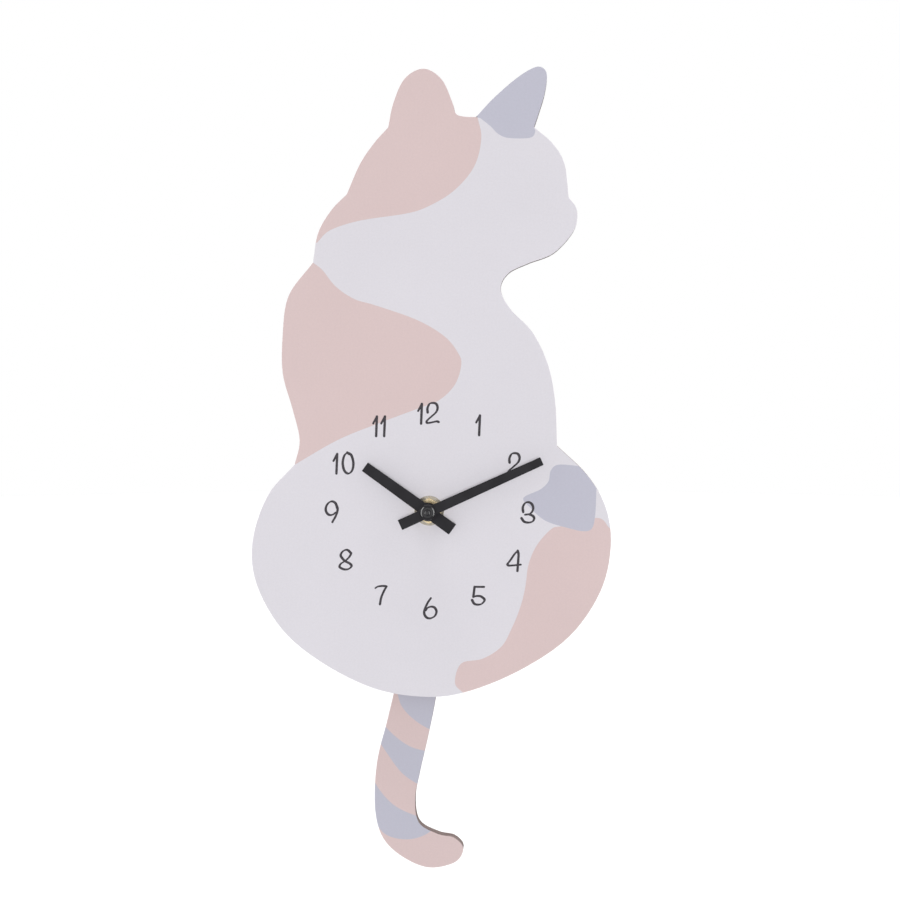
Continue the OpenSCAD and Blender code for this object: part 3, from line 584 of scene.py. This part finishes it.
# ---------------------------------------------------------------- numerals
# Pen strokes of each digit in mm from its centre: x to the right, z up.
DIGITS = {
    "0": [[(-0.4, 5.1), (1.6, 3.8), (2.6, -0.1), (1.9, -3.7), (0, -5.1), (-1.8, -3.7), (-2.6, -0.1),
           (-1.9, 3.4), (-0.5, 4.8), (0.8, 4.3)]],
    "1": [[(-0.9, 1.2), (0.9, 4.6)], [(0.9, 4.6), (0.5, -4.9)]],
    "2": [[(-2.1, 0.3), (-2.2, 2.3), (-1.2, 4.4), (0.4, 4.9), (2, 4.4), (2.7, 2.6), (2, 0.5), (-0.1, -1.5),
           (-2.1, -3.3), (-2.6, -4.2), (-2, -4.8), (0.3, -4.4), (2.2, -4), (3.2, -4.3)]],
    "3": [[(-2.3, 0.6), (-2.5, 2.8), (-1.5, 4.8), (0.1, 5.4), (1.7, 4.6), (2.5, 2.8), (2.1, 1), (0.8, -0.3),
           (-1.4, -0.7)],
          [(0.8, -0.6), (2.4, -1.3), (3, -2.6), (2.1, -4), (0.1, -4.5), (-1.9, -4), (-3.1, -2.4)]],
    "4": [[(1.4, 4.3), (-0.1, 2.8), (-2.4, -0.6), (-3.5, -2.1), (-2.8, -2.8), (-0.6, -2.7), (2.9, -2.3)],
          [(1.4, 4.4), (1.8, 2.8), (1.7, 0), (1.3, -5.4)]],
    "5": [[(-1.6, 4.6), (3, 4.6)], [(-1.6, 4.6), (-2.2, -0.3)],
          [(-2.2, -0.4), (-0.7, 0.1), (1.3, 0), (3, -1.2), (3.1, -2.3), (1.8, -3.7), (0, -4.1),
           (-1.8, -3.6), (-2.8, -1.9)]],
    "6": [[(0.8, 5.3), (-0.6, 3.3), (-1.9, 0.6), (-2.5, -1.5), (-2.1, -3.3), (-0.8, -4.5), (1, -4.5),
           (2.8, -3.3), (3.5, -1.2), (2.6, 0.6), (1, 1.1), (-0.8, 0.5), (-1.8, -0.8)]],
    "7": [[(-2.1, 4.2), (-0.8, 5), (1.7, 5.3), (3.4, 5.1)],
          [(3.4, 5.1), (2.1, 2.8), (0.8, -0.3), (0.1, -3.7)]],
    "8": [[(3, 3.7), (1.1, 5.3), (-1, 4.6), (-2.1, 2.8), (-1.4, 1.3), (0.1, -0.2), (2.4, -1.4),
           (3.2, -2.6), (2, -3.9), (0.1, -4.3), (-1.9, -3.7), (-2.7, -2.8), (-1.9, -1.4), (0.1, -0.1),
           (2, 1.7), (3, 3.4)]],
    "9": [[(3.1, 2.1), (2.3, 4.4), (0.6, 5.3), (-1.2, 4.5), (-2.4, 2.4), (-2.3, 0.3), (-1, -1.2), (0.8, -1.2),
           (2.3, -0.1)],
          [(2.7, 3.7), (3.3, 1.5), (2.5, -1.5), (0.7, -4.8)]],
}
# Each numeral's digits, with their centres in mm from the shaft.
DIAL = {
    "1": [("1", 23.6, 41.5)], "2": [("2", 40.9, 23.1)], "3": [("3", 47.7, -1)],
    "4": [("4", 41.4, -23.6)], "5": [("5", 23.6, -41.5)], "6": [("6", 0, -47.9)],
    "7": [("7", -24.2, -42.2)], "8": [("8", -41.1, -24.7)], "9": [("9", -47.9, -1.1)],
    "10": [("1", -45.6, 22.7), ("0", -39.4, 22.9)],
    "11": [("1", -26.2, 40.9), ("1", -22.3, 40.9)],
    "12": [("1", -4.4, 47), ("2", 1.4, 47.2)],
}
PEN = 1.35                       # mm, the broad nib's width
NIB_ANGLE = math.radians(30)     # direction in which the nib writes its thinnest line
CAP_ANGLES = (0.25, 0.7, 1.15)   # rad, the steps of a stroke's round ends
INK_T = 0.00004                  # m, how far the print stands on the film


def ribbon_row(bm, x, z, heading, half):
    """Four corners of a stroke's cross-section."""
    dx, dz = -math.sin(heading) * half, math.cos(heading) * half
    corners = ((1, -INK_T), (-1, -INK_T), (-1, INK_T), (1, INK_T))
    return [bm.verts.new(placed(x + side * dx, z + side * dz, FACE_Y + rise)) for side, rise in corners]


def pen_stroke(bm, stroke, centre):
    """Adds one stroke as a thin ribbon with round ends, thick and thin as a broad nib writes it."""
    line = smooth(stroke, 8)
    stations = []
    for i, (x, z) in enumerate(line):
        before, after = line[max(i - 1, 0)], line[min(i + 1, len(line) - 1)]
        heading = math.atan2(after[1] - before[1], after[0] - before[0])
        half = PEN / 2 * (0.55 + 0.4 * abs(math.sin(heading - NIB_ANGLE)))
        stations.append((centre[0] + x, centre[1] + z, heading, half))
    start, end = [], []
    for a in CAP_ANGLES:
        for cap, side, (x, z, heading, half) in ((start, -1, stations[0]), (end, 1, stations[-1])):
            reach = side * half * math.cos(a)
            ahead = x + reach * math.cos(heading)
            up = z + reach * math.sin(heading)
            cap.append((ahead, up, heading, half * math.sin(a)))
    rows = [ribbon_row(bm, *station) for station in start + stations + end[::-1]]
    for one, two in zip(rows, rows[1:]):
        for k in range(4):
            bm.faces.new((one[k], one[(k + 1) % 4], two[(k + 1) % 4], two[k]))
    bm.faces.new(rows[0][::-1])
    bm.faces.new(rows[-1])


def digit_mesh(digit, centre):
    """A digit's mesh: its strokes, merged where they cross."""
    strokes = []
    for stroke in DIGITS[digit]:
        bm = bmesh.new()
        pen_stroke(bm, stroke, centre)
        bmesh.ops.recalc_face_normals(bm, faces=bm.faces)
        strokes.append(from_bmesh(f"stroke_{len(strokes)}", bm))
    # the empty one makes a digit of a single stroke go through the union too, where it crosses itself
    others = strokes[1:] + [from_bmesh("nothing", bmesh.new())]
    merged = cut(strokes[0], others, "UNION").data
    for used in [strokes[0], *others]:
        bpy.data.objects.remove(used)
    return merged


def numeral(name, digits):
    """One numeral of one or two digits."""
    bm = bmesh.new()
    for digit, *centre in digits:
        bm.from_mesh(digit_mesh(digit, centre))
    piece = from_bmesh("numeral_" + name, bm)
    piece.data.materials.append(INK)
    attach(piece, "clock_body")


for name, digits in DIAL.items():
    numeral(name, digits)


# ---------------------------------------------------------------- studio
AMBIENT = 0.5                                  # light of the backdrop on the clock
CAMERA_AT = Vector((0.05345, -0.7292, 0.03489))
CAMERA_AIM = Vector((0.01007, -0.0242, -0.0056))
FOCAL_LENGTH = 58.7                            # mm, on a sensor 36 mm wide
FLOOR_Z = -0.8


def softbox(name, place, target, width, height, power):
    """A flat soft lamp."""
    lamp = bpy.data.lights.new(name, "AREA")
    lamp.shape = "RECTANGLE"
    lamp.size = width
    lamp.size_y = height
    lamp.energy = power
    made = bpy.data.objects.new(name, lamp)
    made.location = place
    made.rotation_euler = (Vector(target) - Vector(place)).to_track_quat("-Z", "Y").to_euler()
    bpy.context.scene.collection.objects.link(made)
    return made


def distant(name, towards, strength, spread):
    """Even light without glints, travelling towards a direction, from a source some degrees wide."""
    lamp = bpy.data.lights.new(name, "SUN")
    lamp.energy = strength
    lamp.angle = math.radians(spread)
    made = bpy.data.objects.new(name, lamp)
    made.rotation_euler = Vector(towards).to_track_quat("-Z", "Y").to_euler()
    made.visible_glossy = False
    bpy.context.scene.collection.objects.link(made)


def surroundings():
    """A white backdrop, which lights the clock only softly."""
    world = bpy.data.worlds.new("studio")
    world.use_nodes = True
    tree = world.node_tree
    backdrop = tree.nodes["Background"]
    backdrop.inputs["Color"].default_value = (1, 1, 1, 1)
    ambient = tree.nodes.new("ShaderNodeBackground")
    ambient.inputs["Color"].default_value = (1, 1, 1, 1)
    ambient.inputs["Strength"].default_value = AMBIENT
    seen = tree.nodes.new("ShaderNodeLightPath").outputs["Is Camera Ray"]
    choice = tree.nodes.new("ShaderNodeMixShader")
    tree.links.new(seen, choice.inputs[0])
    tree.links.new(ambient.outputs[0], choice.inputs[1])
    tree.links.new(backdrop.outputs[0], choice.inputs[2])
    tree.links.new(choice.outputs[0], tree.nodes["World Output"].inputs["Surface"])
    bpy.context.scene.world = world


def pale_floor():
    """A floor well below the hanging clock, which throws no light up at it."""
    bpy.ops.mesh.primitive_circle_add(vertices=64, radius=9, fill_type="NGON", location=(0, 0, FLOOR_Z))
    floor = bpy.context.object
    floor.name = "floor"
    f = Finish("pale_floor", (0.9, 0.9, 0.9), 0.9, Specular_IOR_Level=0.1)
    f.paint(f.tint(f.noise(0.5, 2), 0.985))
    floor.data.materials.append(f.material)
    floor.visible_diffuse = False
    floor.visible_glossy = False


def studio():
    """Even light from above, the front and behind, with a tall strip at each side for glints on the hub."""
    surroundings()
    pale_floor()
    distant("overhead", (0, 0, -1), 2.2, 30)
    distant("from_camera", CAMERA_AIM - CAMERA_AT, 1.16, 12)
    distant("from_behind", (-0.5, -1, -0.5), 1.0, 40)
    softbox("front_panel", (0.1, -2.2, 0.0), (0, 0, 0), 1.1, 1.1, 4.0)
    for name, side in (("strip_left", -1), ("strip_right", 1)):
        strip = softbox(name, (1.7 * side, -1.2, 0.2), (0, 0, -0.05), 1.1, 3.0, 85)
        strip.visible_diffuse = False


def camera():
    """The photograph's point of view."""
    lens = bpy.data.cameras.new("camera")
    lens.lens = FOCAL_LENGTH
    lens.sensor_width = 36
    lens.clip_start = 0.01
    made = bpy.data.objects.new("camera", lens)
    made.location = CAMERA_AT
    made.rotation_euler = (CAMERA_AIM - CAMERA_AT).to_track_quat("-Z", "Y").to_euler()
    bpy.context.scene.collection.objects.link(made)
    bpy.context.scene.camera = made


studio()
camera()
bpy.context.scene.view_settings.view_transform = "Standard"
